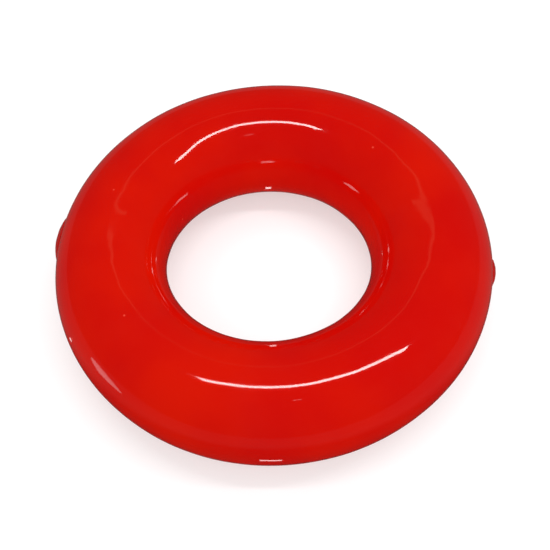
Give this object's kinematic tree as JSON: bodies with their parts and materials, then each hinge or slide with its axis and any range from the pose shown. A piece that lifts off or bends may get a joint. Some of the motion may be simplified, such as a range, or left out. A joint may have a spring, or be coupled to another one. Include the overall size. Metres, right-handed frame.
{
  "type": "juggling ring",
  "caption": "Chunky hollow vinyl ring with a round tube section, a push-in air valve and a vent plug, for tossing, catching and juggling.",
  "frame": {"origin": "the ring's centre, on its axis and halfway through its thickness", "axes": "+Z along the ring's axis, out of the face it lies on upwards; -X towards the air valve on the rim, +X towards the vent plug"},
  "size_m": [0.1717, 0.168, 0.044],
  "materials": {
    "ring_vinyl": "gloss",
    "valve_vinyl": "satin",
    "stopper_vinyl": "satin",
    "plug_vinyl": "satin"
  },
  "bodies": {
    "ring": {"ring_shell": "ring_vinyl", "valve_seat": "valve_vinyl", "vent_plug": "plug_vinyl"},
    "stopper": {"valve_stopper": "stopper_vinyl"}
  },
  "joints": [
    {"name": "stopper_pull", "type": "slide", "parent": "ring", "child": "stopper", "axis": [-1, 0, 0], "range_m": [0, 0.014]}
  ]
}
